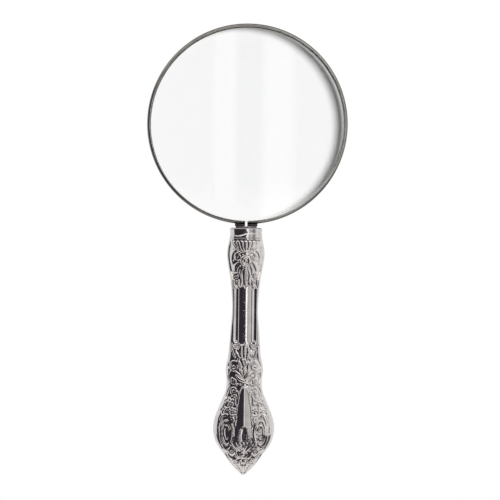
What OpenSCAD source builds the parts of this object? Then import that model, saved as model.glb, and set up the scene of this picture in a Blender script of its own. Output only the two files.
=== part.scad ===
// Hand magnifying glass: a biconvex lens in a split channel rim, whose two ends carry
// the halves of a threaded stud. The hollow struck handle screws onto the stud, and
// that closes the rim on the lens. Millimetres.
//
// The glass lies flat: +Z goes up through the lens, +Y from the handle to the lens.
// The origin is under the middle of the whole object, level with its lowest point.

/* [Lens] */
// Diameter of the lens
lens_d = 78.3; // [77.5:0.1:78.4]
// Thickness of the lens at its edge
lens_edge = 2.2; // [1.6:0.1:2.2]
// Radius of curvature of both lens faces
lens_face_r = 300; // [240:10:500]

/* [Rim] */
// Outside diameter of the rim
rim_d = 80.2; // [80.2:0.1:82]
// Depth of the rim, front to back
rim_depth = 4.2; // [4.2:0.1:5.2]
// Thickness of the rim's outer wall
rim_wall = 0.85; // [0.7:0.05:0.85]
// How far the front lip reaches in from the outside
front_lip = 1.3; // [1.2:0.05:1.5]
// How far the back seat reaches in from the outside
back_lip = 1.75; // [1.6:0.05:2.2]
// Width of the split in the rim and its stud
slit = 0.9; // [0.8:0.1:1.2]

/* [Neck] */
// Width of the two lugs together
lug_w = 9.0; // [8:0.1:9.6]
// Depth of the lugs, front to back
lug_depth = 4.8; // [4.4:0.1:5.2]
// Height of the lugs below the rim
lug_h = 0.9; // [0.8:0.1:2]
// Thread diameter of the split stud
thread_d = 5; // [4.5:0.1:5.2]
// Thread pitch
pitch = 0.8; // [0.5:0.1:0.8]
// Length of stud inside the handle
stud_len = 5; // [4:0.5:5.5]
// Diameter of the spacing washer
washer_d = 8.4; // [7.6:0.1:8.8]
// Thickness of the spacing washer
washer_t = 0.56; // [0.4:0.02:1]

/* [Handle] */
// Length of the handle with its ferrule
handle_len = 98.6; // [96:0.1:102]
// Length of the plain ferrule
ferrule_len = 4.2; // [4:0.1:4.6]
// Thickness of the sheet metal
wall = 0.6; // [0.5:0.05:0.7]
// Diameter of the threaded bush
bush_d = 7.4; // [7:0.1:7.4]
// Length of the threaded bush
bush_len = 6.2; // [5.5:0.1:6.5]

/* [Hidden] */

$fn = 96;
eps = 0.01;

// Clearances
rim_clear = 0.1;     // lens edge to rim wall
face_clear = 0.05;   // lens faces to the rim's lips
thread_clear = 0.03; // stud crest to bush bore
seat_gap = 0.02;     // between parts that seat on each other and turn
fill_clear = 0.05;   // filler to shells

// Half width of the handle at distances from its ferrule end: a vase, a slim waist,
// a knop, a second waist, the broad drop and its pointed tip.
half_widths = [
  [0, 6.4], [4.2, 6.6], [9.6, 7.5], [14, 7.15], [19.6, 6.15], [26, 5.4], [33, 5.1],
  [41, 5.7], [51, 6.5], [56.5, 7.5], [60.5, 7.05], [65, 7.35], [70, 9.3], [76, 11.6],
  [80.8, 12.2], [85.5, 11.1], [88.6, 9.2], [90.4, 7.7], [93.5, 5.6], [96.5, 2.9], [98.6, 0.5],
];
// Half thickness of the handle at the same kind of distances
half_thicks = [
  [0, 4.5], [4.2, 4.6], [10, 5.0], [20, 4.0], [33, 3.4], [45, 3.6], [56.5, 4.6],
  [61, 4.5], [70, 4.8], [79, 5.0], [87, 4.3], [93.5, 3.0], [98.6, 0.5],
];
// Superellipse exponent of the handle's section: round at its ends and squarer along the
// waist, where the front carries a flat panel between two flutes.
corner_powers = [[0, 2.3], [18, 2.4], [25, 8], [44, 8], [52, 2.6], [62, 2.4], [98.6, 2.3]];
ring_step = 2.2;     // spacing of the handle's sections
section_points = 32; // points round each section
cavity_end = 3.4;    // solid metal left at the tip

rim_r = rim_d / 2;
lens_r = lens_d / 2;
neck = lug_h + washer_t + 2 * seat_gap;
z_mid = max([for (t = stations(0, handle_len)) smooth_at(half_thicks, t)]); // rests on its belly
lens_y = (handle_len + neck) / 2;              // centre of the lens
top_y = lens_y - rim_r - neck;                 // ferrule end of the handle
stud_r = thread_d / 2 - thread_clear;
thread_depth = 0.35;

brass = "#b5994e";
silver = "#c9c9cc";

// Slope of a curve through points p at point i
function slope_at(p, i) =
  let (a = p[max(i - 1, 0)], b = p[min(i + 1, len(p) - 1)]) (b[1] - a[1]) / (b[0] - a[0]);

// Height at t of a smooth curve through points p
function smooth_at(p, t) =
  let (
    i = max([for (k = [0:len(p) - 2]) if (k == 0 || t >= p[k][0]) k]),
    h = p[i + 1][0] - p[i][0],
    u = (t - p[i][0]) / h
  )
  (2 * pow(u, 3) - 3 * u * u + 1) * p[i][1] + (pow(u, 3) - 2 * u * u + u) * h * slope_at(p, i)
  + (3 * u * u - 2 * pow(u, 3)) * p[i + 1][1] + (pow(u, 3) - u * u) * h * slope_at(p, i + 1);

// Half the lens's thickness at distance r from its centre
function lens_half(r) =
  lens_edge / 2 + sqrt(pow(lens_face_r, 2) - r * r) - sqrt(pow(lens_face_r, 2) - pow(lens_r, 2));

function rounded(v, power) = sign(v) * pow(abs(v), 2 / power);

// Section of the handle at distance t from its ferrule end, set in by inset
function section(t, inset) =
  let (
    w = max(smooth_at(half_widths, min(t, handle_len)) - inset, 0.2),
    h = max(smooth_at(half_thicks, min(t, handle_len)) - inset, 0.2),
    power = smooth_at(corner_powers, min(t, handle_len))
  )
  [for (k = [0:section_points - 1])
    let (a = 360 * k / section_points) [w * rounded(cos(a), power), h * rounded(sin(a), power)]];

// Distances between t0 and t1 at which the handle is cut into sections
function stations(t0, t1) =
  concat([t0], [for (k = [1:ceil(handle_len / ring_step)])
    let (t = k * ring_step) if (t > t0 + 0.3 && t < t1 - 0.3) t], [t1]);

// First n points of a section at t, as points on the handle
function ring(t, inset, n) =
  let (p = section(t, inset)) [for (k = [0:n - 1]) [p[k][0], top_y - t, z_mid + p[k][1]]];

// Quads between two runs of n points that start at points a and b
function strip(a, b, n) = [for (k = [0:n - 2]) [a + k, a + k + 1, b + k + 1, b + k]];

// Solid through the handle's sections from t0 to t1
module handle_loft(inset, t0, t1) {
  at = stations(t0, t1);
  n = section_points;
  last = (len(at) - 1) * n;
  points = [for (t = at) for (p = ring(t, inset, n)) p];
  side = [for (i = [0:len(at) - 2], k = [0:n - 1])
    let (a = i * n, next = (k + 1) % n) [a + k, a + next, a + n + next, a + n + k]];
  caps = [[for (k = [n - 1:-1:0]) k], [for (k = [0:n - 1]) last + k]];
  polyhedron(points, concat(side, caps), convexity = 4);
}

// Put children on the handle's axis at distance t from its ferrule end, with +Z along it
module on_axis(t) {
  translate([0, top_y - t, z_mid]) rotate([90, 0, 0]) children();
}

module lens() {
  apex = lens_half(0);
  color("#dff0ea", 0.4)
    translate([0, lens_y, z_mid])
      intersection() {
        cylinder(r = lens_r, h = 2 * apex + 2, center = true);
        translate([0, 0, apex - lens_face_r]) sphere(r = lens_face_r, $fn = 256);
        translate([0, 0, lens_face_r - apex]) sphere(r = lens_face_r, $fn = 256);
      }
}

// Channel section of the rim, drawn at its real radius
module rim_section() {
  d = rim_depth / 2;
  groove = lens_half(rim_r - back_lip) + face_clear;
  bevel = 0.5;
  polygon([
    [rim_r - bevel, -d], [rim_r, bevel - d], [rim_r, d - bevel], [rim_r - bevel, d],
    [rim_r - front_lip + bevel / 2, d], [rim_r - front_lip, d - bevel / 2],
    [rim_r - front_lip, groove], [rim_r - rim_wall, groove],
    [rim_r - rim_wall, -groove], [rim_r - back_lip, -groove],
    [rim_r - back_lip, bevel / 2 - d], [rim_r - back_lip + bevel / 2, -d],
  ]);
}

module rim_band() {
  color(silver)
    translate([0, lens_y, z_mid])
      difference() {
        rotate_extrude($fn = 180) rim_section();
        translate([-slit / 2, -rim_r - 1, -rim_depth]) cube([slit, 4, 2 * rim_depth]);
      }
}

// Half stud below the lugs, with its thread shown as plain grooves one pitch apart
module threaded_stud() {
  turns = floor(stud_len / pitch);
  on_axis(-neck) difference() {
    cylinder(r = stud_r, h = neck + stud_len);
    for (i = [0:turns - 1])
      translate([0, 0, neck + stud_len - (i + 0.75) * pitch])
        rotate_extrude() polygon([
          [stud_r - thread_depth, 0], [stud_r + eps, -0.35 * pitch],
          [stud_r + eps, 0.35 * pitch],
        ]);
  }
}

// One lug (side -1 is left, 1 is right) with its half of the stud
module rim_lug(side) {
  lug_y = top_y + neck - lug_h;
  reach = 2; // far enough to meet the rim's curve at the lug's outer end
  color(silver)
    intersection() {
      union() {
        difference() {
          translate([-lug_w / 2, lug_y, z_mid - lug_depth / 2])
            cube([lug_w, lug_h + reach, lug_depth]);
          translate([0, lens_y, z_mid - lug_depth]) cylinder(r = rim_r, h = 2 * lug_depth, $fn = 180);
        }
        difference() {
          threaded_stud();
          translate([0, lens_y, z_mid - lug_depth]) cylinder(r = rim_r, h = 2 * lug_depth, $fn = 180);
        }
      }
      translate([side > 0 ? slit / 2 : -lug_w, top_y - 50, 0]) cube([lug_w - slit / 2, 100, 20]);
    }
}

module left_rim_lug() { rim_lug(-1); }

module right_rim_lug() { rim_lug(1); }

// Washer between lugs and ferrule. Its cross bar lies in the split of the stud, so it
// turns with the stud and slides along it.
module spacing_washer() {
  bar = slit - 0.2;
  color("#2c2a2b")
    on_axis(-seat_gap - washer_t) {
      difference() {
        cylinder(d = washer_d, h = washer_t);
        translate([0, 0, -1]) cylinder(r = stud_r + 0.1, h = washer_t + 2);
      }
      translate([-bar / 2, -stud_r - 0.2, 0]) cube([bar, 2 * stud_r + 0.4, washer_t]);
    }
}

// Plain drawn collar with a closed end, which the bush's spigot passes through
module ferrule() {
  outer = section(ferrule_len / 2, 0);
  inner = section(ferrule_len / 2, wall);
  color(silver)
    on_axis(0) difference() {
      linear_extrude(ferrule_len) polygon(outer);
      translate([0, 0, wall]) linear_extrude(ferrule_len) polygon(inner);
      translate([0, 0, -1]) cylinder(r = thread_d / 2 + 0.7, h = 3);
    }
}

// Bush soldered in the ferrule. Its bore carries the stud.
module threaded_bush() {
  color(brass)
    on_axis(0) difference() {
      union() {
        cylinder(r = thread_d / 2 + 0.7, h = bush_len);
        translate([0, 0, wall]) cylinder(d = bush_d, h = bush_len - wall);
      }
      translate([0, 0, -1]) cylinder(d = thread_d, h = bush_len + 2);
    }
}

// One struck half of the handle's skin: 1 is the front, -1 the back. The outer skin runs
// to the tip and the inner one stops short of it.
module handle_shell(side) {
  hollow_at = stations(ferrule_len, handle_len - cavity_end);
  tip_at = stations(handle_len - cavity_end, handle_len);
  at = concat(hollow_at, [for (i = [1:len(tip_at) - 1]) tip_at[i]]);
  n = section_points / 2 + 1;
  hollow = len(hollow_at);
  inner = len(at) * n; // first point of the inner skin
  inner_end = inner + (hollow - 1) * n;
  points = concat(
    [for (t = at) for (p = ring(t, 0, n)) p],
    [for (t = hollow_at) for (p = ring(t, wall, n)) p]
  );
  outer_skin = [for (i = [0:len(at) - 2]) for (f = strip(i * n, (i + 1) * n, n)) f];
  inner_skin = [for (i = [0:hollow - 2]) for (f = strip(inner + (i + 1) * n, inner + i * n, n)) f];
  mouth = strip(inner, 0, n);
  seams = [for (i = [0:hollow - 2]) each [
    [i * n, (i + 1) * n, inner + (i + 1) * n, inner + i * n],
    [i * n + n - 1, inner + i * n + n - 1, inner + (i + 1) * n + n - 1, (i + 1) * n + n - 1],
  ]];
  // Flat parting face of the solid tip, fanned where it meets the end of the hollow
  far = hollow * n;
  near = far - n;
  far_left = far + n - 1;
  near_left = near + n - 1;
  inner_left = inner_end + n - 1;
  tip_fan = [
    [far, far_left, near_left], [far, near_left, inner_left], [far, inner_left, inner_end],
    [far, inner_end, near],
  ];
  tip_seam = [for (i = [hollow:len(at) - 2]) [i * n, (i + 1) * n, (i + 1) * n + n - 1, i * n + n - 1]];
  ends = [[for (k = [n - 1:-1:0]) inner_end + k], [for (k = [0:n - 1]) (len(at) - 1) * n + k]];
  faces = concat(outer_skin, inner_skin, mouth, seams, tip_fan, tip_seam, ends);
  color(silver)
    translate([0, 0, side > 0 ? 0 : 2 * z_mid])
      mirror([0, 0, side > 0 ? 0 : 1])
        polyhedron(points, faces, convexity = 6);
}

module handle_front_shell() { handle_shell(1); }

module handle_back_shell() { handle_shell(-1); }

module handle_filler() {
  color("#6b5a48")
    handle_loft(wall + fill_clear, bush_len + 1.8, handle_len - cavity_end - 0.2);
}

lens();
rim_band();
left_rim_lug();
right_rim_lug();
spacing_washer();
ferrule();
threaded_bush();
handle_front_shell();
handle_back_shell();
handle_filler();
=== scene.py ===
"""Looks of the magnifying glass: struck silver handle, polished ferrule, plated rim, lens.

Lengths of the object are in millimetres and become metres where a mesh is made. On the
handle, x is the distance across from its axis and t the distance from its ferrule end.
"""
import math

import bpy
import numpy as np
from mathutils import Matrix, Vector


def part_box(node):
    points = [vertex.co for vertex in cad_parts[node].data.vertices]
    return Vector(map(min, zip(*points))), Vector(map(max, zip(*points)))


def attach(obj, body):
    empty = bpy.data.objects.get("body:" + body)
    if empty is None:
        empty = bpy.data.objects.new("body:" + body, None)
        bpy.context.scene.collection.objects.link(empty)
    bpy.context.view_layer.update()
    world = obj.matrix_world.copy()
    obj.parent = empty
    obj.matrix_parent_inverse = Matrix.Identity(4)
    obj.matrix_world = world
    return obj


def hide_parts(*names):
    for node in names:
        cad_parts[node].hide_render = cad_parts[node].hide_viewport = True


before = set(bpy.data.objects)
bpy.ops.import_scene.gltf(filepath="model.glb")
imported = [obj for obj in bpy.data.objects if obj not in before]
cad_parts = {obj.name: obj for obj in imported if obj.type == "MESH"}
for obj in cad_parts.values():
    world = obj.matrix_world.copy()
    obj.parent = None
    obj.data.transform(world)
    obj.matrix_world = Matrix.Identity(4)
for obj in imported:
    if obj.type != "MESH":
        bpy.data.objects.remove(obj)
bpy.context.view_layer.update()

MM = 0.001


def box_mm(node):
    """Lowest and highest corner of a CAD node, in millimetres."""
    low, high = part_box(node)
    return np.array(low) / MM, np.array(high) / MM


# ---------------------------------------------------------------- sizes from the frame

RIM_LOW, RIM_HIGH = box_mm("rim_band")
LENS_LOW, LENS_HIGH = box_mm("lens")
FERRULE_LOW, FERRULE_HIGH = box_mm("ferrule")
SHELL_LOW = box_mm("handle_front_shell")[0]
LUG_LOW, LUG_HIGH = box_mm("right_rim_lug")
WASHER_LOW, WASHER_HIGH = box_mm("spacing_washer")

RIM_R = (RIM_HIGH[0] - RIM_LOW[0]) / 2
RIM_HALF = (RIM_HIGH[2] - RIM_LOW[2]) / 2
LENS_R = (LENS_HIGH[0] - LENS_LOW[0]) / 2
LENS_APEX = (LENS_HIGH[2] - LENS_LOW[2]) / 2
LENS_Y = (LENS_LOW[1] + LENS_HIGH[1]) / 2
MID_Z = (RIM_LOW[2] + RIM_HIGH[2]) / 2
TOP_Y = FERRULE_HIGH[1]
FERRULE_T = TOP_Y - FERRULE_LOW[1]
TIP_T = TOP_Y - SHELL_LOW[1]
SLIT_HALF = LUG_LOW[0]
LUG_Y = WASHER_HIGH[1] + 0.02   # foot of the lugs, just clear of the washer

# Sizes that the boxes don't give: the CAD's, or within 0.03 of it
LENS_EDGE = 1.1       # half the lens's thickness at its edge
LIP = 1.3             # radial width of the rim's front lip
SEAT = 1.75           # and of the seat behind the lens
RIM_WALL = 0.85       # thickness of the rim outside its groove
GROOVE_HALF = 1.26    # half the groove's width
STUD_R = 2.47
PITCH = 0.8
THREAD_DEPTH = 0.38
WASHER_HOLE_R = 2.57
FERRULE_HOLE_R = 3.2
WALL = 0.6            # of the ferrule and the shells


# ---------------------------------------------------------------- mesh helpers

def make_piece(name, points, faces, body, stands_for, material, smooth=True):
    """A mesh piece from points in millimetres, riding on a body."""
    mesh = bpy.data.meshes.new(name)
    mesh.from_pydata((np.asarray(points, float) * MM).tolist(), [], faces)
    mesh.validate()
    if smooth:
        mesh.shade_smooth()
    else:
        mesh.shade_flat()
    piece = bpy.data.objects.new(name, mesh)
    bpy.context.scene.collection.objects.link(piece)
    mesh.materials.append(material)
    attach(piece, body)
    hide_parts(*stands_for)
    return piece


def paint(piece, name, values):
    """Store one value per point for a material to read."""
    piece.data.attributes.new(name, "FLOAT", "POINT").data.foreach_set("value", np.float32(values))


def grid_faces(rows, columns, start=0, wrap=False, flip=False):
    """Quads of a grid of points stored row by row. wrap joins its last column to its first."""
    across = columns if wrap else columns - 1
    faces = []
    for i in range(rows - 1):
        for j in range(across):
            a = start + i * columns + j
            b = start + i * columns + (j + 1) % columns
            quad = (a, b, b + columns, a + columns)
            faces.append(quad[::-1] if flip else quad)
    return faces


def smooth_curve(points, per_span=12):
    """Points along a smooth curve through the given ones."""
    p = np.asarray(points, float)
    if len(p) == 2:
        return p[0] + np.linspace(0, 1, per_span + 1)[:, None] * (p[1] - p[0])
    padded = np.vstack([2 * p[0] - p[1], p, 2 * p[-1] - p[-2]])
    u = np.linspace(0, 1, per_span, endpoint=False)[:, None]
    spans = []
    for a, b, c, d in zip(padded, padded[1:], padded[2:], padded[3:]):
        spans.append(
            0.5 * (2 * b + (c - a) * u + (2 * a - 5 * b + 4 * c - d) * u**2
                   + (3 * b - a - 3 * c + d) * u**3)
        )
    return np.vstack(spans + [p[-1:]])


# ---------------------------------------------------------------- relief of the handle

STEP = 0.08           # spacing of the height field
GROUND = -0.46        # depth of the struck ground below the handle's skin
LOWEST = -0.5         # the ornament stays between these heights
HIGHEST = 0.08
GRAIN = 0.16          # strength and blur of the ground's grains
SWELL = 0.35          # strength of the unevenness of the forms
SWELL_SIZE = 0.5      # and its blur
SOFTNESS = 0.07       # blur of the whole ornament
FORM_SIZE = 0.4       # blur that parts the main forms from their detail
DETAIL = 0.5          # how much of the detail's height a cast surface keeps
HOLLOW_SIZE = 0.35    # blur that finds the hollows, where oxide stays


def dome(d, s):
    """Round section: 1 on the stroke's line and 0 at its edge."""
    return np.clip(1 - d * d, 0, 1) ** 0.8


def leaf_section(d, s):
    """Leaf: two lobes with a sunk vein, and small notches along its edges. s runs along it."""
    lobes = np.clip(1 - d * d, 0, 1) ** 0.7
    vein = 0.4 * np.exp(-((d / 0.22) ** 2))
    notch = 0.14 * np.abs(d) * (1 + np.cos(2 * np.pi * (s * 4 - np.abs(d) * 1.2)))
    return np.clip(lobes - vein - notch, 0, 1)


def gutter_section(d, s):
    """Ribbon: raised edges and a sunk middle, as on a C scroll."""
    return np.clip(np.clip(1 - d**4, 0, 1) ** 0.8 - 0.45 * np.exp(-((d / 0.4) ** 2)), 0, 1)


class Relief:
    """Height of one half of the handle's ornament, which is the same on both sides."""

    def __init__(self, half_width, length):
        self.x = np.arange(0, half_width + STEP, STEP)
        self.t = np.arange(0, length + STEP, STEP)
        self.height = np.zeros((len(self.t), len(self.x)))

    def stroke(self, points, radii, section=dome, top=0.0, moat=0.1, smooth=True):
        """Draw a ridge along points, its radius following radii from end to end."""
        path = smooth_curve(points) if smooth else np.asarray(points, float)
        reach = max(radii) + moat
        low, high = path.min(0) - reach, path.max(0) + reach
        i0, i1 = np.searchsorted(self.t, [low[1], high[1]])
        j0, j1 = np.searchsorted(self.x, [low[0], high[0]])
        if i0 >= i1 or j0 >= j1:
            return
        tt, xx = np.meshgrid(self.t[i0:i1], self.x[j0:j1], indexing="ij")
        best = np.full(tt.shape, 1e9)
        along = np.zeros(tt.shape)
        lengths = np.hypot(*np.diff(path, axis=0).T)
        total = lengths.sum()
        start = 0.0
        for p, q, length in zip(path, path[1:], lengths):
            step = q - p
            u = ((xx - p[0]) * step[0] + (tt - p[1]) * step[1]) / max(length**2, 1e-12)
            u = np.clip(u, 0, 1)
            d = np.hypot(xx - p[0] - u * step[0], tt - p[1] - u * step[1])
            nearer = d < best
            best[nearer] = d[nearer]
            along[nearer] = (start + u * length)[nearer] / total
            start += length
        radius = np.interp(along, np.linspace(0, 1, len(radii)), radii)
        radius = np.maximum(radius, 0.02)
        patch = self.height[i0:i1, j0:j1]
        edge = (best > radius) & (best < radius + moat)
        patch[edge] = np.minimum(patch[edge], 0.85 * GROUND)
        inside = best <= radius
        rise = GROUND + (top - GROUND) * section(best / radius, along)
        patch[inside] = rise[inside]

    def bead(self, x, t, radius, top=0.0):
        """Round boss."""
        self.stroke([(x, t), (x, t + 0.01)], [radius], top=top, smooth=False)

    def scroll(self, x, t, radius, start, turns, width=0.45, top=0.0, tail=()):
        """Spiral ridge closing on an eye. start is in degrees, 0 towards +x and 90 towards +t."""
        n = int(18 * abs(turns)) + 2
        a = np.radians(start) + np.linspace(0, 2 * np.pi * turns, n)
        r = radius * np.linspace(1, 0.3, n)
        spiral = [(x + ri * math.cos(ai), t + ri * math.sin(ai)) for ri, ai in zip(r, a)]
        lead = smooth_curve(list(tail) + [spiral[0]])[:-1].tolist() if tail else []
        self.stroke(lead + spiral, [0.6 * width, width, width, 0.7 * width], gutter_section,
                    top, smooth=False)
        self.bead(x, t, 0.32 * radius, top)

    def rosette(self, x, t, radius, petals, top=0.0):
        """Flower of leaf-shaped petals round a boss."""
        for k in range(petals):
            a = 2 * np.pi * k / petals
            c, s = math.cos(a), math.sin(a)
            self.stroke([(x + 0.35 * radius * c, t + 0.35 * radius * s),
                         (x + radius * c, t + radius * s)],
                        [0.2 * radius, 0.42 * radius, 0.3 * radius], leaf_section, top)
        self.bead(x, t, 0.34 * radius, top + 0.05)

    def fan(self, x, t, radius, angles, width, top=0.0, inner=0.2):
        """Ribs spreading from a point at angles in degrees."""
        for a in angles:
            c, s = math.cos(math.radians(a)), math.sin(math.radians(a))
            self.stroke([(x + inner * radius * c, t + inner * radius * s),
                         (x + radius * c, t + radius * s)],
                        [0.4 * width, 0.8 * width, width, 0.7 * width], dome, top)


def interpolated(field, x, t):
    """Values of a height field at arrays of distances x and t."""
    fi = np.clip(t / STEP, 0, field.shape[0] - 1.001)
    fj = np.clip(np.abs(x) / STEP, 0, field.shape[1] - 1.001)
    i, j = fi.astype(int), fj.astype(int)
    u, v = fi - i, fj - j
    return ((1 - u) * (1 - v) * field[i, j] + u * (1 - v) * field[i + 1, j]
            + (1 - u) * v * field[i, j + 1] + u * v * field[i + 1, j + 1])


def blurred(field, sigma):
    """Gaussian blur of a field, sigma in millimetres."""
    reach = int(3 * sigma / STEP) + 1
    k = np.exp(-0.5 * (np.arange(-reach, reach + 1) * STEP / sigma) ** 2)
    k /= k.sum()
    padded = np.pad(field, reach, mode="reflect")
    rows = sum(w * padded[:, n:n + field.shape[1]] for n, w in enumerate(k))
    return sum(w * rows[n:n + field.shape[0]] for n, w in enumerate(k))


def step_between(v, low, high):
    """Smooth rise from 0 at low to 1 at high."""
    u = np.clip((v - low) / (high - low), 0, 1)
    return u * u * (3 - 2 * u)


# Half width of the plain reserve down the middle of the broad end
RESERVE = [(63, 0.2), (65, 1.3), (68, 2.1), (73, 2.6), (80, 2.9), (84, 3.4), (86.4, 2.2),
           (87.4, 0.2)]
GABLE = 0.105         # slope of the reserve each side of its middle line
POOL_T = 82.8
POOL_WIDTH, POOL_LENGTH = 1.7, 4.0
POOL_EDGE, POOL_DISH = -0.16, 0.14
PANEL = 2.5           # half width of the waist's panel
PANEL_TOP = 0.16      # its height in the middle
CROWN = 0.048         # and its fall per square millimetre from there
FLUTE_X = 3.6
FLUTE_T = (24.4, 44.6)
# Heights across the waist from the panel's edge: bead, flute, raised lip, border
WAIST = [(2.5, -0.14), (2.65, -0.02), (2.85, -0.10), (3.5, -0.46), (3.7, -0.46), (4.5, 0.06),
         (4.8, 0.08), (5.8, 0.0)]
UPPER = (4.5, 23.4)   # the ornamented lengths
LOWER = (46.2, 98.6)
# Width of the plain border outside the ornament
BORDER = [(0, 0.45), (16, 0.45), (22, 0.9), (50, 1.0), (66, 1.3), (76, 1.8), (84, 1.9),
          (88, 1.2), (90, 0.35), (98, 0.2)]
SHELL_X, SHELL_T = 6.9, 81.2


def reserve_half(t):
    """Half width of the plain reserve at distances t."""
    return np.interp(t, *zip(*RESERVE), left=-1, right=-1)


def ornament_mask(relief, half_width):
    """1 where the skin is ornamented, 0 on the borders, flutes, panel and reserve."""
    tt, xx = np.meshgrid(relief.t, relief.x, indexing="ij")
    w = np.interp(relief.t, *half_width)[:, None]
    border = np.interp(relief.t, *zip(*BORDER))[:, None]
    inside = step_between(w - border - xx, 0, 0.3)
    upper = step_between(tt, UPPER[0], UPPER[0] + 2.2)
    upper = upper * (1 - step_between(tt, UPPER[1] - 0.8, UPPER[1]))
    lower = step_between(tt, LOWER[0], LOWER[0] + 0.8)
    plain = step_between(reserve_half(relief.t)[:, None] - xx, -0.25, 0.1)
    return (upper + lower) * inside * (1 - plain)


def carve_ground(relief, mask):
    """Sink and grain the ornamented ground, slope the reserve like a roof and dish its pool."""
    tt, xx = np.meshgrid(relief.t, relief.x, indexing="ij")
    relief.height = GROUND * mask
    sloped = (reserve_half(relief.t)[:, None] > xx) & (mask < 0.99)
    relief.height -= np.where(sloped, GABLE * (np.hypot(xx, 0.1) - 0.1), 0) * (1 - mask)
    pool = np.hypot(xx / POOL_WIDTH, (tt - POOL_T) / POOL_LENGTH)
    relief.height = np.where(pool < 1, POOL_EDGE - POOL_DISH * (1 - pool**4), relief.height)
    rng = np.random.default_rng(7)
    grain = blurred(rng.normal(size=relief.height.shape), GRAIN)
    relief.height += GRAIN * grain * mask


def across_waist(x):
    """Height across the fluted waist at distances x from its middle."""
    x = np.abs(x)
    return np.where(x < PANEL, PANEL_TOP - CROWN * x**2, np.interp(x, *zip(*WAIST)))


def carve_waist(relief):
    """A crowned panel between two round-ended flutes, whose outer walls rise to the borders."""
    tt, xx = np.meshgrid(relief.t, relief.x, indexing="ij")
    away = np.hypot(xx - FLUTE_X, tt - np.clip(tt, *FLUTE_T))
    outward = 0.5 + 0.5 * (xx - FLUTE_X) / np.maximum(away, 1e-6)
    section = (outward * across_waist(FLUTE_X + away)
               + (1 - outward) * across_waist(FLUTE_X - away))
    between = step_between(tt, UPPER[1] - 0.5, UPPER[1])
    between = between * (1 - step_between(tt, LOWER[0], LOWER[0] + 0.5))
    relief.height += between * section


def arc_points(t, x_radius, t_radius, low, high, count):
    """Points round an ellipse on the middle line: angle 0 is its top and pi its foot."""
    return [(x_radius * math.sin(a), t - t_radius * math.cos(a))
            for a in np.linspace(low, high, count)]


def draw_upper(relief):
    """Palmette, arch, rosette, leaves and scrolls between the ferrule and the flutes."""
    for foot, head in ((0.0, 0.0), (0.9, 1.65), (1.9, 3.3), (3.1, 4.9)):
        relief.stroke([(foot, 8.9), ((foot + head) / 2 + 0.1, 7.4), (head, 5.8)],
                      [0.3, 0.6, 0.8], dome, -0.04)
    relief.stroke([(4.2, 8.2), (5.3, 6.9), (5.9, 5.6)], [0.3, 0.5, 0.3], leaf_section)
    relief.scroll(3.1, 11.6, 1.35, -70, 1.15, 0.42, tail=[(0.0, 9.2), (1.7, 9.4)])
    relief.stroke([(4.4, 9.0), (5.6, 10.4), (5.9, 12.6), (5.4, 14.4)], [0.3, 0.5, 0.45, 0.2],
                  leaf_section)
    relief.bead(0.0, 13.2, 0.6)
    ring = arc_points(13.2, 1.6, 1.7, -0.1, math.pi + 0.1, 20)
    relief.stroke(ring, [0.5, 0.6, 0.45], dome, 0.05, smooth=False)
    relief.stroke([(3.0, 13.8), (4.1, 15.2), (4.5, 17.0)], [0.3, 0.75, 0.2], leaf_section)
    relief.stroke([(2.2, 15.2), (2.9, 16.9), (2.7, 18.6)], [0.3, 0.6, 0.25], leaf_section)
    relief.stroke([(0.0, 15.8), (0.0, 19.6), (0.0, 23.6)], [0.5, 1.0, 0.8, 0.15], leaf_section)
    relief.stroke([(1.0, 16.4), (1.7, 18.6), (1.5, 21.0), (2.0, 23.4)], [0.2, 0.36, 0.3, 0.12])
    relief.scroll(3.9, 19.2, 1.15, -120, 1.2, 0.36, tail=[(2.6, 17.4)])
    relief.stroke([(2.7, 20.8), (2.9, 22.4), (2.6, 24.0)], [0.2, 0.4, 0.1])
    relief.stroke([(4.7, 20.6), (4.7, 22.2), (4.6, 23.8)], [0.25, 0.36, 0.1])
    for x, t, r in ((1.2, 10.8, 0.3), (1.0, 15.9, 0.28), (4.9, 13.0, 0.3), (4.6, 11.6, 0.26),
                    (3.6, 21.4, 0.4), (5.2, 18.0, 0.26), (3.3, 9.2, 0.3)):
        relief.bead(x, t, r)


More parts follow.
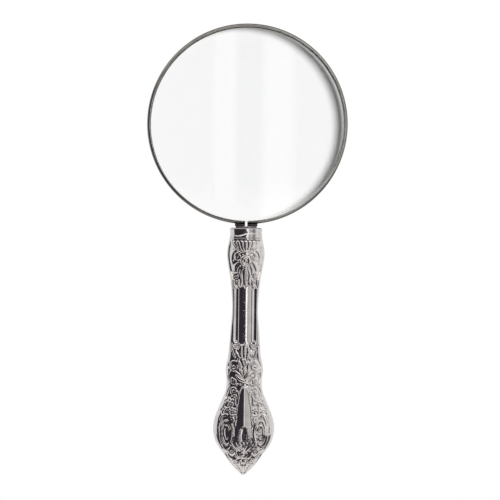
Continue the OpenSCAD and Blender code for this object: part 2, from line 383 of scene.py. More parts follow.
def draw_knop(relief):
    """Leaf tips under the flutes, paired C scrolls and the fan between them."""
    relief.stroke([(0.0, 51.6), (0.0, 49.2), (0.0, 46.2)], [0.4, 0.62, 0.1], leaf_section)
    relief.stroke([(0.9, 52.6), (1.5, 50.2), (1.2, 47.4)], [0.3, 0.62, 0.15], leaf_section)
    arc = [(FLUTE_X + 1.5 * math.cos(a), 46.2 + 1.5 * math.sin(a))
           for a in np.linspace(-0.1, math.pi + 0.1, 18)]
    relief.stroke(arc, [0.15, 0.4, 0.15], dome, 0.05, smooth=False)
    relief.stroke([(2.0, 51.8), (2.9, 50.6), (3.6, 49.0)], [0.3, 0.62, 0.2], leaf_section)
    relief.stroke([(3.8, 51.6), (4.5, 50.4), (4.9, 48.6)], [0.3, 0.5, 0.2], leaf_section)
    relief.scroll(4.3, 55.1, 2.0, -150, 1.5, 0.52, 0.0, tail=[(1.6, 51.6), (2.5, 52.2)])
    relief.stroke([(2.1, 53.2), (1.5, 55.2), (1.9, 57.4)], [0.2, 0.42, 0.2])
    relief.stroke([(0.0, 52.0), (0.7, 53.4), (0.0, 54.8)], [0.25, 0.5, 0.2], leaf_section)
    relief.fan(0.0, 60.2, 4.4, (-90, -66, -42), 0.52, 0.04, 0.12)
    relief.stroke([(0.2, 60.9), (2.2, 60.0), (3.3, 58.6)], [0.5, 0.5, 0.25], gutter_section, 0.04)
    relief.scroll(4.3, 60.9, 1.2, -60, 1.2, 0.38, tail=[(2.6, 62.0), (3.4, 62.4)])
    relief.stroke([(5.9, 57.4), (6.1, 59.2), (5.7, 61.2)], [0.2, 0.42, 0.2])
    for x, t, r in ((2.4, 54.6, 0.3), (0.9, 57.0, 0.3), (2.9, 57.6, 0.34),
                    (5.7, 62.6, 0.3), (1.7, 62.2, 0.3)):
        relief.bead(x, t, r)


def draw_side_flowers(relief):
    """Scrolls, flowers and leaves that flank the reserve."""
    edge = [(reserve_half(np.array([t]))[0] + 0.32, t) for t in np.arange(62.6, 78.4, 0.8)]
    relief.stroke(edge, [0.12, 0.26, 0.26, 0.2], dome, 0.06)
    relief.scroll(4.2, 64.6, 1.5, 160, -1.3, 0.42, 0.0, tail=[(2.4, 69.8), (2.2, 67.2)])
    relief.stroke([(5.6, 63.4), (6.3, 65.4), (6.9, 67.8)], [0.2, 0.45, 0.2], leaf_section)
    relief.stroke([(3.1, 66.6), (3.9, 68.2), (3.4, 70.4)], [0.25, 0.62, 0.2], leaf_section)
    relief.rosette(5.6, 69.2, 1.55, 5, 0.04)
    relief.rosette(4.4, 72.6, 1.25, 5, 0.04)
    relief.rosette(7.5, 72.3, 1.15, 5)
    relief.stroke([(5.9, 71.0), (6.0, 72.8), (5.6, 74.4)], [0.2, 0.5, 0.2], leaf_section)
    relief.stroke([(3.1, 74.2), (4.6, 74.6), (6.4, 74.0)], [0.3, 0.5, 0.2], leaf_section)
    relief.stroke([(8.6, 74.4), (9.3, 75.6), (9.7, 77.4)], [0.2, 0.42, 0.2], leaf_section)
    relief.stroke([(2.9, 76.2), (3.5, 77.6), (3.2, 79.2)], [0.2, 0.5, 0.15], leaf_section)
    for x, t, r in ((2.9, 71.6, 0.32), (7.2, 69.8, 0.3), (6.9, 67.0, 0.26), (3.0, 73.0, 0.28),
                    (9.0, 72.9, 0.26), (4.9, 66.9, 0.28)):
        relief.bead(x, t, r)


def draw_shells(relief):
    """The ribbed C shell each side of the pool, and the pool's own border."""
    def arc(scale, a0, a1):
        """Part of an ellipse about the shell's middle, from a0 to a1 degrees."""
        return [(SHELL_X + 2.6 * scale * math.cos(a), SHELL_T + 6.9 * scale * math.sin(a))
                for a in np.linspace(math.radians(a0), math.radians(a1), 40)]

    for scale, r, top in ((1.0, 0.42, 0.0), (0.68, 0.4, -0.05), (0.38, 0.36, -0.14)):
        relief.stroke(arc(scale, -160, 118), [0.7 * r, r, r, 0.6 * r], dome, top, smooth=False)
    relief.stroke([(5.7, 76.6), (4.4, 79.6), (4.3, 82.8), (5.2, 86.4)], [0.25, 0.42, 0.42, 0.25])
    relief.scroll(5.0, 76.2, 1.1, 100, 1.1, 0.4, tail=[(8.4, 74.6), (7.0, 74.2)])
    border = arc_points(POOL_T, POOL_WIDTH, POOL_LENGTH, 0.75, math.pi - 0.2, 30)
    relief.stroke(border, [0.12, 0.24, 0.28, 0.24], dome, 0.0, 0.06, smooth=False)


def draw_foot(relief):
    """Leaves under the pool, the ring, the scrolls and the leaf at the tip."""
    relief.fan(0.0, 89.4, 4.0, (-90, -68, -46), 0.5, 0.0, 0.4)
    relief.stroke([(1.2, 88.6), (2.6, 86.9), (3.3, 84.9)], [0.25, 0.6, 0.15], leaf_section, 0.04)
    relief.stroke([(2.6, 88.6), (4.0, 87.4), (4.9, 85.8)], [0.25, 0.6, 0.15], leaf_section, 0.04)
    ring = arc_points(90.2, 1.3, 1.3, 0, math.pi, 18)
    relief.stroke(ring, [0.3, 0.3], gutter_section, 0.05, smooth=False)
    relief.bead(0.0, 90.2, 0.6, 0.05)
    relief.scroll(4.6, 89.3, 1.35, 200, 1.3, 0.4, 0.0, tail=[(1.5, 91.6), (2.6, 91.0)])
    relief.stroke([(6.2, 88.8), (7.4, 88.4), (8.2, 87.0)], [0.3, 0.55, 0.2], leaf_section)
    relief.scroll(3.4, 93.2, 1.35, 150, -1.25, 0.4, 0.0, tail=[(0.8, 95.2), (1.4, 94.2)])
    relief.stroke([(4.7, 92.0), (5.4, 91.6), (6.2, 90.6)], [0.25, 0.45, 0.2], leaf_section)
    relief.stroke([(0.9, 92.2), (1.6, 93.0), (1.2, 94.4)], [0.2, 0.4, 0.15], leaf_section)
    relief.stroke([(0.0, 92.2), (0.0, 93.4), (0.0, 94.6)], [0.2, 0.42, 0.2], leaf_section)
    relief.stroke([(0.0, 94.8), (0.0, 96.6), (0.0, 98.4)], [0.45, 0.85, 0.5], leaf_section, 0.05)
    relief.stroke([(2.6, 95.0), (1.9, 96.4), (1.0, 97.6)], [0.4, 0.5, 0.2], leaf_section)


def handle_profile():
    """Half width, half thickness and section power along the handle, from the CAD shell's rings."""
    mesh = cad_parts["handle_front_shell"].data
    co = np.array([v.co for v in mesh.vertices]) / MM
    t = np.round(TOP_Y - co[:, 1], 2)
    rows = []
    for station in np.unique(t):
        x, z = np.abs(co[t == station, 0]), co[t == station, 2] - MID_Z
        w, h = x.max(), z.max()
        corner = np.argmin(np.abs(x / w - z / h))
        rows.append((station, w, h, math.log(0.5) / math.log(x[corner] / w)))
    return smooth_curve(rows, 8).T


def build_relief(profile):
    """The whole relief, and where it is ornamented."""
    relief = Relief(profile[1].max() + 0.5, TIP_T)
    mask = ornament_mask(relief, profile[:2])
    carve_ground(relief, mask)
    carve_waist(relief)
    draw_upper(relief)
    draw_knop(relief)
    draw_side_flowers(relief)
    draw_shells(relief)
    draw_foot(relief)
    # Cast forms are soft, and some stand prouder than others
    rng = np.random.default_rng(11)
    swell = blurred(rng.normal(size=relief.height.shape), SWELL_SIZE)
    relief.height = blurred(relief.height, SOFTNESS) + SWELL * swell * mask
    forms = blurred(relief.height, FORM_SIZE)
    soft = np.clip(forms + DETAIL * (relief.height - forms), LOWEST, HIGHEST)
    relief.height = np.where(mask > 0, soft, relief.height)
    return relief, mask


ROWS = 560            # of points along a shell
COLUMNS = 160         # and quads round its outside
INNER_COLUMNS = 8     # and round its inside
SEAM_FADE = 0.5       # the relief fades out this near the seams
TIP_FADE = 1.0        # the tip
TOP_FADE = 0.3        # and the ferrule


def half_sections(w, h, power, columns):
    """Points of the half superellipse at each t, evenly spaced round it, left seam first."""
    a = np.linspace(0, np.pi, 721)
    cos, sin = np.cos(a), np.abs(np.sin(a))
    share = np.linspace(0, 1, columns + 1)
    x, z = np.empty((len(w), columns + 1)), np.empty((len(w), columns + 1))
    for i in range(len(w)):
        px = -w[i] * np.sign(cos) * np.abs(cos) ** (2 / power[i])
        pz = h[i] * sin ** (2 / power[i])
        run = np.concatenate([[0], np.cumsum(np.hypot(np.diff(px), np.diff(pz)))])
        x[i] = np.interp(share * run[-1], run, px)
        z[i] = np.interp(share * run[-1], run, pz)
    return x, z


def shell_outside(height, t, x, z):
    """Points of the outer surface, moved along its normals by the relief's height."""
    y = np.repeat((TOP_Y - t)[:, None], COLUMNS + 1, axis=1)
    skin = np.stack([x, y, z], axis=2)
    normal = np.cross(np.gradient(skin, axis=0), np.gradient(skin, axis=1))
    normal /= np.maximum(np.linalg.norm(normal, axis=2, keepdims=True), 1e-9)
    normal *= np.where(normal[:, :, 2:] < 0, -1, 1)
    seam = np.minimum(z / SEAM_FADE, 1)
    ends = np.minimum((TIP_T - t) / TIP_FADE, 1) * np.minimum((t - FERRULE_T) / TOP_FADE, 1)
    return skin + normal * (height * seam * ends[:, None])[:, :, None]


def shell_inside(w, h, power, t):
    """Points of the plain inner surface."""
    x, z = half_sections(np.maximum(w - WALL, 0.3 * w), np.maximum(h - WALL, 0.3 * h), power,
                         INNER_COLUMNS)
    y = np.repeat((TOP_Y - t)[:, None], INNER_COLUMNS + 1, axis=1)
    return np.stack([x, y, z], axis=2)


def shell_faces(side):
    """Outer and inner surfaces, strips that join them along the seams, and the two ends."""
    n, m, base = COLUMNS + 1, INNER_COLUMNS + 1, (ROWS + 1) * (COLUMNS + 1)
    faces = grid_faces(ROWS + 1, n, 0, flip=side > 0)
    faces += grid_faces(ROWS + 1, m, base, flip=side < 0)
    for i in range(ROWS):
        outer, inner = i * n, base + i * m
        left = (outer, outer + n, inner + m, inner)
        right = (outer + n - 1, inner + m - 1, inner + 2 * m - 1, outer + 2 * n - 1)
        faces += [left[::side], right[::side]]
    top = list(range(n)) + [base + k for k in range(m - 1, -1, -1)]
    tip = [ROWS * n + k for k in range(n - 1, -1, -1)] + [base + ROWS * m + k for k in range(m)]
    return faces + [tuple(top[::side]), tuple(tip[::side])]


def shell_piece(name, node, side, relief, mask, profile, material):
    """One struck half of the handle: side 1 is the front and -1 the back."""
    t = np.linspace(FERRULE_T, TIP_T, ROWS + 1)
    w, h, power = (np.interp(t, profile[0], row) for row in profile[1:])
    x, z = half_sections(w, h, power, COLUMNS)
    tt = np.repeat(t[:, None], COLUMNS + 1, axis=1)
    skin = shell_outside(interpolated(relief.height, x, tt), t, x, z)
    points = np.vstack([skin.reshape(-1, 3), shell_inside(w, h, power, t).reshape(-1, 3)])
    points[:, 2] = MID_Z + side * points[:, 2]
    piece = make_piece(name, points, shell_faces(side), "handle", [node], material)
    # Oxide stays in hollows: none where they are 0.09 deep, and all of it at 0.34
    depth = blurred(relief.height, HOLLOW_SIZE) - relief.height
    dark = interpolated(np.clip(depth / 0.25 - 0.35, 0, 1) * mask, x, tt)
    paint(piece, "patina", np.concatenate([dark.ravel(), np.zeros(len(points) - dark.size)]))


# ---------------------------------------------------------------- the other pieces

def lens_piece(material):
    """Biconvex lens with a fine bevel at its edge, turned about its own axis."""
    rings, turn = 40, 256
    bevel_r, bevel_z = LENS_R - 0.08, LENS_EDGE - 0.1
    sag = LENS_APEX - LENS_EDGE
    radius = (LENS_R**2 + sag**2) / (2 * sag)
    r = np.linspace(0, bevel_r, rings + 1)[1:]
    drop = radius - np.sqrt(radius**2 - r**2)
    front = np.column_stack([r, LENS_APEX - drop])
    edge = [[LENS_R, bevel_z], [LENS_R, -bevel_z]]
    outline = np.vstack([front, edge, front[::-1] * [1, -1]])
    a = np.linspace(0, 2 * np.pi, turn, endpoint=False)
    points = [(r * math.cos(k), LENS_Y + r * math.sin(k), MID_Z + z) for r, z in outline for k in a]
    faces = grid_faces(len(outline), turn, 0, wrap=True, flip=True)
    points += [(0, LENS_Y, MID_Z + LENS_APEX), (0, LENS_Y, MID_Z - LENS_APEX)]
    front_pole, back_pole = len(points) - 2, len(points) - 1
    last = (len(outline) - 1) * turn
    for k in range(turn):
        faces.append((front_pole, k, (k + 1) % turn))
        faces.append((back_pole, last + (k + 1) % turn, last + k))
    piece = make_piece("lens_glass", points, faces, "head", ["lens"], material)
    piece.visible_shadow = False


def rim_section():
    """Rolled channel: (radius, height) round the section, with soft corners."""
    lip, seat, wall, d = RIM_R - LIP, RIM_R - SEAT, RIM_R - RIM_WALL, RIM_HALF
    reach = 1.05   # how far in the rolled outside goes
    roll = [(RIM_R - reach + reach * math.cos(a) ** 0.8,
             d * math.copysign(abs(math.sin(a)) ** 0.8, a))
            for a in np.radians(np.linspace(-89.9, 89.9, 33))]
    front = [(RIM_R - 1.15, d - 0.01), (lip + 0.06, d - 0.12), (lip, d - 0.3),
             (lip, GROOVE_HALF + 0.1), (lip + 0.08, GROOVE_HALF), (wall, GROOVE_HALF)]
    back = [(wall, -GROOVE_HALF), (seat + 0.1, -GROOVE_HALF), (seat, -GROOVE_HALF - 0.1),
            (seat, 0.3 - d), (seat + 0.12, 0.1 - d), (RIM_R - 1.3, -d + 0.01)]
    return np.array(roll + front + back)


def rim_piece(material):
    """The rim, swept round the lens and open at the split above the handle. Its outer wall carries
    painted shade, a darker colour along it."""
    section = rim_section()
    n, turn = len(section), 360
    points, faces = [], []
    for k in range(turn + 1):
        share = k / turn
        for r, z in section:
            gap = math.asin(SLIT_HALF / r)
            a = -math.pi / 2 + gap + share * (2 * math.pi - 2 * gap)
            points.append((r * math.cos(a), LENS_Y + r * math.sin(a), MID_Z + z))
    faces += grid_faces(turn + 1, n, 0, wrap=True)
    faces.append(tuple(range(n)))
    faces.append(tuple(turn * n + k for k in range(n - 1, -1, -1)))
    piece = make_piece("rim_band_plated", points, faces, "head", ["rim_band"],
                       material)
    # Painted shade: the colour darkens from none 0.75 mm inside the outer edge to full at 0.35 mm
    painted_shade = step_between(section[:, 0], RIM_R - 0.75, RIM_R - 0.35)
    paint(piece, "painted_shade", np.tile(painted_shade, turn + 1))


def lug_block(side):
    """The block of one lug, in layers through its depth. Its top follows the rim."""
    half = LUG_HIGH[0]
    depth = (LUG_HIGH[2] - LUG_LOW[2]) / 2
    outline = [(x, LENS_Y - math.sqrt((RIM_R - 0.02) ** 2 - x * x))
               for x in np.linspace(SLIT_HALF, half, 7)]
    outline += [(half, LUG_Y + 0.25), (half - 0.07, LUG_Y + 0.07), (half - 0.25, LUG_Y),
                (SLIT_HALF, LUG_Y)]
    outline = np.array(outline)
    centre = outline.mean(0)
    # Height of each layer, and how far its outline is drawn in to soften the edges
    layers = [(-depth, 0.15), (-depth + 0.05, 0.05), (-depth + 0.2, 0),
              (depth - 0.2, 0), (depth - 0.05, 0.05), (depth, 0.15)]
    points = []
    for z, inset in layers:
        for p in outline:
            share = np.minimum(inset / np.maximum(np.abs(centre - p), 1e-6), 0.5)
            x, y = p + (centre - p) * share
            points.append((side * x, y, MID_Z + z))
    n = len(outline)
    faces = grid_faces(len(layers), n, 0, wrap=True, flip=side > 0)
    faces.append(tuple(range(n))[::side])
    faces.append(tuple((len(layers) - 1) * n + k for k in range(n))[::-side])
    return points, faces


def half_stud(side, start):
    """Half a cylinder with a helical thread in its round side. Its points count from start."""
    steps, columns = 150, 25
    top, end = LUG_Y + 0.2, LUG_LOW[1]
    split = math.asin(SLIT_HALF / STUD_R)
    half_turn = 0.5 if side < 0 else 0
    points = []
    for i in range(steps + 1):
        y = top + (end - top) * i / steps
        # The thread runs out at both ends, and the lower end is chamfered
        fade = min(max((TOP_Y - y - 0.3) / 0.5, 0), 1) * min(max((y - end) / 0.4, 0.3), 1)
        chamfer = 0.35 * max(0, 1 - (y - end) / 0.35)
        for k in range(columns):
            a = split + (math.pi - 2 * split) * k / (columns - 1) - math.pi / 2
            crest = abs((y / PITCH - side * a / (2 * math.pi) + half_turn) % 1 - 0.5) * 2
            r = STUD_R - THREAD_DEPTH * (1 - crest) * fade - chamfer
            points.append((side * max(r * math.cos(a), SLIT_HALF), y, MID_Z + r * math.sin(a)))
    faces = grid_faces(steps + 1, columns, start, wrap=True, flip=side < 0)
    faces.append(tuple(start + k for k in range(columns))[::-side])
    faces.append(tuple(start + steps * columns + k for k in range(columns))[::side])
    return points, faces


def lug_piece(side, material):
    """One lug and its half of the threaded stud: side 1 is the right and -1 the left."""
    name = "right" if side > 0 else "left"
    points, faces = lug_block(side)
    stud_points, stud_faces = half_stud(side, len(points))
    points += stud_points
    piece = make_piece(f"{name}_lug_and_half_stud", points, faces + stud_faces, "head",
                       [f"{name}_rim_lug"], material, smooth=False)
    # Painted shade: the whole lug and its half stud are coloured three quarters of the way to the
    # dark shade colour
    paint(piece, "painted_shade", np.full(len(points), 0.75))


def turned_ring(section, turn=128):
    """Points and faces of a closed section (radius, y) turned about the handle's axis."""
    n = len(section)
    points, faces = [], []
    for k in range(turn):
        angle = 2 * math.pi * k / turn
        here, after = k * n, (k + 1) % turn * n
        for j, (r, y) in enumerate(section):
            points.append((r * math.cos(angle), y, MID_Z + r * math.sin(angle)))
            faces.append((here + j, here + (j + 1) % n, after + (j + 1) % n, after + j))
    return points, faces


def washer_piece(material):
    """Washer with rounded edges, and the cross bar that lies in the stud's split."""
    outer = (WASHER_HIGH[0] - WASHER_LOW[0]) / 2
    inner = WASHER_HOLE_R
    y0, y1 = WASHER_LOW[1], WASHER_HIGH[1]
    b = 0.1
    ring = [(inner, y0 + b), (inner + b, y0), (outer - b, y0), (outer, y0 + b),
            (outer, y1 - b), (outer - b, y1), (inner + b, y1), (inner, y1 - b)]
    points, faces = turned_ring(ring)
    # The bar, as a box
    x, z = SLIT_HALF - 0.1, inner + 0.1
    s = len(points)
    for y in (y0, y1):
        points += [(-x, y, MID_Z - z), (x, y, MID_Z - z), (x, y, MID_Z + z), (-x, y, MID_Z + z)]
    faces += [(s, s + 1, s + 2, s + 3), (s + 7, s + 6, s + 5, s + 4)]
    faces += [(s + k, s + 4 + k, s + 4 + (k + 1) % 4, s + (k + 1) % 4) for k in range(4)]
    make_piece("spacing_washer_dark", points, faces, "washer", ["spacing_washer"],
               material, smooth=False)


def ferrule_waist(cx, t):
    """Depth of the collar's shallow waist at t, which runs further down on the left."""
    foot = 1.8 + 0.9 * step_between(-cx, -0.15, 0.45)
    waist = 0.2 * step_between(t, 0.4, 2.0) - 0.2 * step_between(t, foot, foot + 1.1)
    return np.where(t < 3.95, waist, 0)


def ferrule_piece(power, material):
    """Drawn collar: soft shoulders, a shallow waist and a hole for the bush's spigot."""
    w = (FERRULE_HIGH[0] - FERRULE_LOW[0]) / 2
    h = (FERRULE_HIGH[2] - FERRULE_LOW[2]) / 2
    turn = 128
    a = np.linspace(0, 2 * np.pi, turn, endpoint=False)
    cx = np.sign(np.cos(a)) * np.abs(np.cos(a)) ** (2 / power)
    cz = np.sign(np.sin(a)) * np.abs(np.sin(a)) ** (2 / power)
    # Rings as (inset, t), from the hole over the outside and back inside. None is the hole
    layers = [(None, 0.0), (1.3, 0.0), (0.6, 0.0), (0.3, 0.06), (0.12, 0.18), (0.03, 0.36),
              (0.0, 0.6)]
    layers += [(0.0, t) for t in np.linspace(0.7, 3.9, 22)]
    layers += [(0.08, FERRULE_T - 0.08), (0.2, FERRULE_T)]
    layers += [(WALL, FERRULE_T), (WALL, WALL), (None, WALL)]
    points = []
    for inset, t in layers:
        if inset is None:
            points += [(FERRULE_HOLE_R * math.cos(k), TOP_Y - t,
                        MID_Z + FERRULE_HOLE_R * math.sin(k)) for k in a]
        else:
            drop = inset + ferrule_waist(cx, t)
            points += [((w - d) * c, TOP_Y - t, MID_Z + (h - d) * s)
                       for c, s, d in zip(cx, cz, drop)]
    faces = grid_faces(len(layers), turn, 0, wrap=True)
    last = (len(layers) - 1) * turn
    faces += [(last + k, last + (k + 1) % turn, (k + 1) % turn, k) for k in range(turn)]
    make_piece("ferrule_collar", points, faces, "handle", ["ferrule"], material)


# ---------------------------------------------------------------- materials

def new_material(name):
    """A node material, its nodes and links, and its Principled shader."""
    material = bpy.data.materials.new(name)
    material.use_nodes = True
    tree = material.node_tree
    return material, tree.nodes, tree.links, tree.nodes["Principled BSDF"]


def noise(nodes, links, scale, detail=4, stretch=(1, 1, 1)):
    """Noise in object coordinates, scale in features per metre."""
    place = nodes.new("ShaderNodeTexCoord")
    mapping = nodes.new("ShaderNodeMapping")
    mapping.inputs["Scale"].default_value = stretch
    texture = nodes.new("ShaderNodeTexNoise")
    texture.inputs["Scale"].default_value = scale
    texture.inputs["Detail"].default_value = detail
    links.new(place.outputs["Object"], mapping.inputs["Vector"])
    links.new(mapping.outputs["Vector"], texture.inputs["Vector"])
    return texture.outputs["Fac"]


def ramp(nodes, links, source, stops):
    """Colour ramp over source. stops are (place, colour)."""
    node = nodes.new("ShaderNodeValToRGB")
    while len(node.color_ramp.elements) < len(stops):
        node.color_ramp.elements.new(0.5)
    for element, (place, colour) in zip(node.color_ramp.elements, stops):
        element.position = place
        element.color = (*colour, 1)
    links.new(source, node.inputs["Fac"])
    return node.outputs["Color"]


def grey(value):
    """A colour with no hue."""
    return (value, value, value)


def calculate(nodes, links, operation, *values):
    """A maths node's result. Each value is a socket or a number."""
    node = nodes.new("ShaderNodeMath")
    node.operation = operation
    for socket, value in zip(node.inputs, values):
        if isinstance(value, (int, float)):
            socket.default_value = value
        else:
            links.new(value, socket)
    return node.outputs[0]


def painted(nodes, name):
    """The values that paint() stored on the piece."""
    node = nodes.new("ShaderNodeAttribute")
    node.attribute_name = name
    return node.outputs["Fac"]


def bump(nodes, links, shader, heights):
    """Chain of bumps. heights are (source, distance in metres, strength)."""
    previous = None
    for source, distance, strength in heights:
        node = nodes.new("ShaderNodeBump")
        node.inputs["Distance"].default_value = distance
        node.inputs["Strength"].default_value = strength
        links.new(source, node.inputs["Height"])
        if previous:
            links.new(previous, node.inputs["Normal"])
        previous = node.outputs["Normal"]
    links.new(previous, shader.inputs["Normal"])


def mix(nodes, links, factor, a, b):
    """Colour between a and b, each a socket or a colour."""
    node = nodes.new("ShaderNodeMix")
    node.data_type = "RGBA"
    links.new(factor, node.inputs[0])
    for socket, value in ((node.inputs[6], a), (node.inputs[7], b)):
        if isinstance(value, tuple):
            socket.default_value = (*value, 1)
        else:
            links.new(value, socket)
    return node.outputs[2]


def struck_silver():
    """Slightly clouded silver with a few pits, and dark oxide in its hollows."""
    material, nodes, links, shader = new_material("struck_silver")
    shader.inputs["Metallic"].default_value = 1.0
    cloud = ramp(nodes, links, noise(nodes, links, 300, 5),
                 [(0.35, (0.68, 0.655, 0.64)), (0.6, (0.75, 0.735, 0.72))])
    oxide = calculate(nodes, links, "MULTIPLY_ADD", noise(nodes, links, 1400, 3), 0.4,
                      painted(nodes, "patina"))
    amount = ramp(nodes, links, oxide, [(0.5, grey(0)), (1.2, grey(0.7))])
    colour = mix(nodes, links, amount, cloud, (0.12, 0.09, 0.10))
    links.new(colour, shader.inputs["Base Color"])
    rough = ramp(nodes, links, oxide, [(0.3, grey(0.05)), (1.0, grey(0.22))])
    links.new(rough, shader.inputs["Roughness"])
    pits = ramp(nodes, links, noise(nodes, links, 2600, 2), [(0.30, grey(0)), (0.36, grey(1))])
    bump(nodes, links, shader, [(noise(nodes, links, 420, 3, (1, 0.4, 1)), 0.00012, 0.12),
                                (pits, 0.00005, 0.2)])
    return material


def polished_silver():
    """The ferrule: bright, with fine scratches round it, faintly tarnished."""
    material, nodes, links, shader = new_material("polished_silver")
    shader.inputs["Metallic"].default_value = 1.0
    colour = ramp(nodes, links, noise(nodes, links, 260, 5),
                  [(0.35, (0.65, 0.64, 0.63)), (0.62, (0.71, 0.705, 0.70))])
    links.new(colour, shader.inputs["Base Color"])
    scratches = noise(nodes, links, 700, 6, (1, 9, 1))
    rough = ramp(nodes, links, scratches, [(0.3, grey(0.05)), (0.75, grey(0.16))])
    links.new(rough, shader.inputs["Roughness"])
    bump(nodes, links, shader, [(scratches, 0.00004, 0.15),
                                (noise(nodes, links, 330, 2), 0.0004, 0.35)])
    return material


def rim_plate():
    """Nickel plate, slightly yellow-grey, a little wavy, and darkened where painted shade is stored
    on the piece.
    """
    material, nodes, links, shader = new_material("rim_plate")
    shader.inputs["Metallic"].default_value = 1.0
    clean = ramp(nodes, links, noise(nodes, links, 240, 5),
                 [(0.35, (0.40, 0.40, 0.36)), (0.65, (0.52, 0.515, 0.47))])
    # Painted shade: the stored values mix the colour towards near black (0.10, 0.08, 0.09)
    colour = mix(nodes, links, painted(nodes, "painted_shade"), clean, (0.10, 0.08, 0.09))
    links.new(colour, shader.inputs["Base Color"])
    rough = ramp(nodes, links, noise(nodes, links, 1800, 4), [(0.3, grey(0.10)), (0.8, grey(0.24))])
    links.new(rough, shader.inputs["Roughness"])
    bump(nodes, links, shader, [(noise(nodes, links, 320, 3), 0.0002, 0.1)])
    return material


def lens_glass():
    """Clear glass with the faintest green and a barely wavy surface."""
    material, nodes, links, shader = new_material("lens_glass")
    shader.inputs["Base Color"].default_value = (0.985, 0.995, 0.99, 1)
    shader.inputs["Transmission Weight"].default_value = 1.0
    shader.inputs["Roughness"].default_value = 0.0
    shader.inputs["IOR"].default_value = 1.52
    bump(nodes, links, shader, [(noise(nodes, links, 14, 1), 0.0004, 0.02)])
    return material


def plain_material(name, metallic, roughness, cloud, stops, grain, depth):
    """Clouded colour, one roughness and one bump, for the pieces that hardly show. cloud and
    grain say what noise() makes."""
    material, nodes, links, shader = new_material(name)
    shader.inputs["Metallic"].default_value = metallic
    shader.inputs["Roughness"].default_value = roughness
    colour = ramp(nodes, links, noise(nodes, links, *cloud), stops)
    links.new(colour, shader.inputs["Base Color"])
    bump(nodes, links, shader, [(noise(nodes, links, *grain), depth, 0.4)])
    return material


def dark_fibre():
    """The washer, nearly black."""
    return plain_material("dark_fibre", 0.0, 0.55, (1500, 4),
                          [(0.3, (0.02, 0.017, 0.02)), (0.8, (0.07, 0.06, 0.062))],
                          (4000, 3, (1, 4, 1)), 0.00005)


def turned_brass():
    """The bush, with fine turning marks."""
    return plain_material("turned_brass", 1.0, 0.25, (500, 4),
                          [(0.3, (0.55, 0.38, 0.16)), (0.7, (0.80, 0.60, 0.30))],
                          (900, 3, (1, 12, 1)), 0.00006)


def cast_resin():
    """The filler inside the handle, dark brown."""
    return plain_material("cast_resin", 0.0, 0.6, (400, 5),
                          [(0.3, (0.03, 0.022, 0.018)), (0.7, (0.07, 0.05, 0.04))],
                          (1200, 4), 0.0002)


# ---------------------------------------------------------------- stage

def add_camera():
    """Straight above the object, which lies on a table and is turned slightly in the frame."""
    data = bpy.data.cameras.new("camera")
    data.sensor_width = 36
    data.lens = 90
    camera = bpy.data.objects.new("camera", data)
    camera.location = (1.64 * MM, -0.35 * MM, (MID_Z + 500) * MM)
    camera.rotation_euler = (0, 0, math.radians(0.72))
    bpy.context.scene.collection.objects.link(camera)
    bpy.context.scene.camera = camera


def floor_material():
    """Pure white looked at directly, as a cut-out background is. Metal mirrors it partly as a
    glow, and through the lens it is a lit floor with the rim's soft shadow on it."""
    material, nodes, links, shader = new_material("floor")
    shader.inputs["Base Color"].default_value = (*grey(0.20), 1)
    shader.inputs["Roughness"].default_value = 1.0
    shader.inputs["Specular IOR Level"].default_value = 0.0
    shader.inputs["Emission Color"].default_value = (1, 1, 1, 1)
    shader.inputs["Emission Strength"].default_value = 0.03
    path = nodes.new("ShaderNodeLightPath")
    # A ray that has passed through glass counts as glossy too
    reflected = calculate(nodes, links, "SUBTRACT", path.outputs["Is Glossy Ray"],
                          path.outputs["Is Transmission Ray"])
    reflected.node.use_clamp = True
    shown = shader.outputs[0]
    for ray, strength, share in ((reflected, 0.8, 0.6), (path.outputs["Is Camera Ray"], 1.0, 1.0)):
        glow = nodes.new("ShaderNodeEmission")
        glow.inputs["Strength"].default_value = strength
        choice = nodes.new("ShaderNodeMixShader")
        links.new(calculate(nodes, links, "MULTIPLY", ray, share), choice.inputs[0])
        links.new(shown, choice.inputs[1])
        links.new(glow.outputs[0], choice.inputs[2])
        shown = choice.outputs[0]
    links.new(shown, nodes["Material Output"].inputs["Surface"])
    return material


def add_floor():
    """Table top, half a millimetre under the object."""
    mesh = bpy.data.meshes.new("floor")
    size = 3.0
    corners = [(-size, -size, 0), (size, -size, 0), (size, size, 0), (-size, size, 0)]
    mesh.from_pydata(corners, [], [(0, 1, 2, 3)])
    mesh.materials.append(floor_material())
    floor = bpy.data.objects.new("floor", mesh)
    floor.location.z = -0.5 * MM
    bpy.context.scene.collection.objects.link(floor)


def add_lamp():
    """Soft light from the right that throws the rim's shadow. It isn't mirrored in the metal or
    seen through the lens."""
    data = bpy.data.lights.new("lamp", "SUN")
    data.energy = 15.8
    data.angle = math.radians(26)
    lamp = bpy.data.objects.new("lamp", data)
    lamp.rotation_euler = (0, math.radians(27), math.radians(10))
    lamp.visible_glossy = False
    lamp.visible_transmission = False
    bpy.context.scene.collection.objects.link(lamp)


# Light from each side of overhead, by degrees to the right of it: pale low on the left, dark
# from there to overhead, a narrow white strip, then greys
DARK = (0.022, 0.017, 0.024)
BANDS = [(-90, grey(0.62)), (-78, grey(0.55)), (-70, DARK), (-30, DARK),
         (2, (0.028, 0.022, 0.030)), (4, grey(0.95)), (8, grey(0.95)), (10, (0.30, 0.295, 0.30)),
         (16, (0.36, 0.355, 0.35)), (26, (0.44, 0.435, 0.425)), (38, (0.12, 0.112, 0.118)),
         (50, (0.42, 0.41, 0.40)), (64, (0.60, 0.56, 0.56)), (74, (0.60, 0.56, 0.56)),
         (90, grey(0.5))]
# The end beyond the lens, from high to low: pale, then darker
FAR_WALL = [(0.6, (0.80, 0.75, 0.74)), (0.72, (0.30, 0.29, 0.29)), (0.86, (0.14, 0.135, 0.14))]
# The end beyond the tip, from high to low: dark, then pale
NEAR_WALL = [(0.58, (0.03, 0.025, 0.03)), (0.78, (0.58, 0.55, 0.54))]


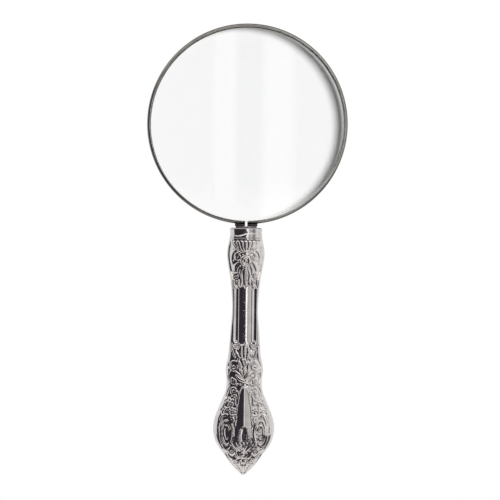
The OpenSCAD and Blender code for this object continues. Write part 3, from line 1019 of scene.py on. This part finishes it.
def add_world():
    """Studio round the object: bands across it, an end wall each way and grey at the horizon."""
    world = bpy.data.worlds.new("studio")
    bpy.context.scene.world = world
    world.use_nodes = True
    nodes, links = world.node_tree.nodes, world.node_tree.links
    place = nodes.new("ShaderNodeTexCoord")
    split = nodes.new("ShaderNodeSeparateXYZ")
    links.new(place.outputs["Generated"], split.inputs[0])
    x, y, z = (split.outputs[axis] for axis in "XYZ")
    spread = nodes.new("ShaderNodeMapRange")
    spread.inputs["From Min"].default_value = -math.pi / 2
    spread.inputs["From Max"].default_value = math.pi / 2
    links.new(calculate(nodes, links, "ARCTAN2", x, z), spread.inputs["Value"])
    colour = ramp(nodes, links, spread.outputs["Result"],
                  [(0.5 + degrees / 180, band) for degrees, band in BANDS])
    near = calculate(nodes, links, "MULTIPLY", y, -1)
    for lean, first, full, wall in ((y, 0.36, 0.5, FAR_WALL), (near, 0.3, 0.38, NEAR_WALL)):
        amount = ramp(nodes, links, lean, [(first, grey(0)), (full, grey(1))])
        colour = mix(nodes, links, amount, colour, ramp(nodes, links, lean, wall))
    low = ramp(nodes, links, z, [(0.02, grey(1)), (0.14, grey(0))])
    colour = mix(nodes, links, low, colour, grey(0.36))
    background = nodes["Background"]
    links.new(colour, background.inputs["Color"])
    background.inputs["Strength"].default_value = 1.65


# ---------------------------------------------------------------- the object

bpy.context.scene.view_settings.view_transform = "Standard"
add_camera()
add_floor()
add_lamp()
add_world()

silver = struck_silver()
plate = rim_plate()
profile = handle_profile()
relief, mask = build_relief(profile)
shell_piece("handle_front_struck", "handle_front_shell", 1, relief, mask, profile, silver)
shell_piece("handle_back_struck", "handle_back_shell", -1, relief, mask, profile, silver)
ferrule_piece(profile[3][0], polished_silver())
lens_piece(lens_glass())
rim_piece(plate)
lug_piece(1, plate)
lug_piece(-1, plate)
washer_piece(dark_fibre())
for node, material in (("threaded_bush", turned_brass()), ("handle_filler", cast_resin())):
    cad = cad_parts[node]
    cad.data.materials.clear()
    cad.data.materials.append(material)
